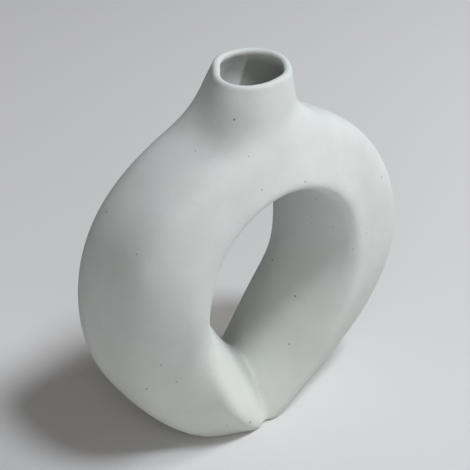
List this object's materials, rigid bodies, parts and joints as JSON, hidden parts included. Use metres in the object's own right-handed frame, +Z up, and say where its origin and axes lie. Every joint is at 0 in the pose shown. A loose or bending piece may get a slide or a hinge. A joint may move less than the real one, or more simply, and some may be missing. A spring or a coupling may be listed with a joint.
{
  "type": "donut vase",
  "caption": "Hollow ring-shaped stoneware vase with a twisted ring, a crease at the foot, a flat base and a short oval neck on top",
  "frame": {"origin": "middle of the flat foot, on the surface that the vase stands on", "axes": "+Z up, through the middle of the neck; +Y to the back, along the axis of the ring's hole; +X to the right, across the ring"},
  "size_m": [0.2076, 0.1044, 0.2197],
  "materials": {
    "clay_body": "matte, pale grey with a slight green tint and sparse dark specks"
  },
  "bodies": {
    "root": {"left_limb": "clay_body", "right_limb": "clay_body", "neck_collar": "clay_body"}
  },
  "joints": []
}
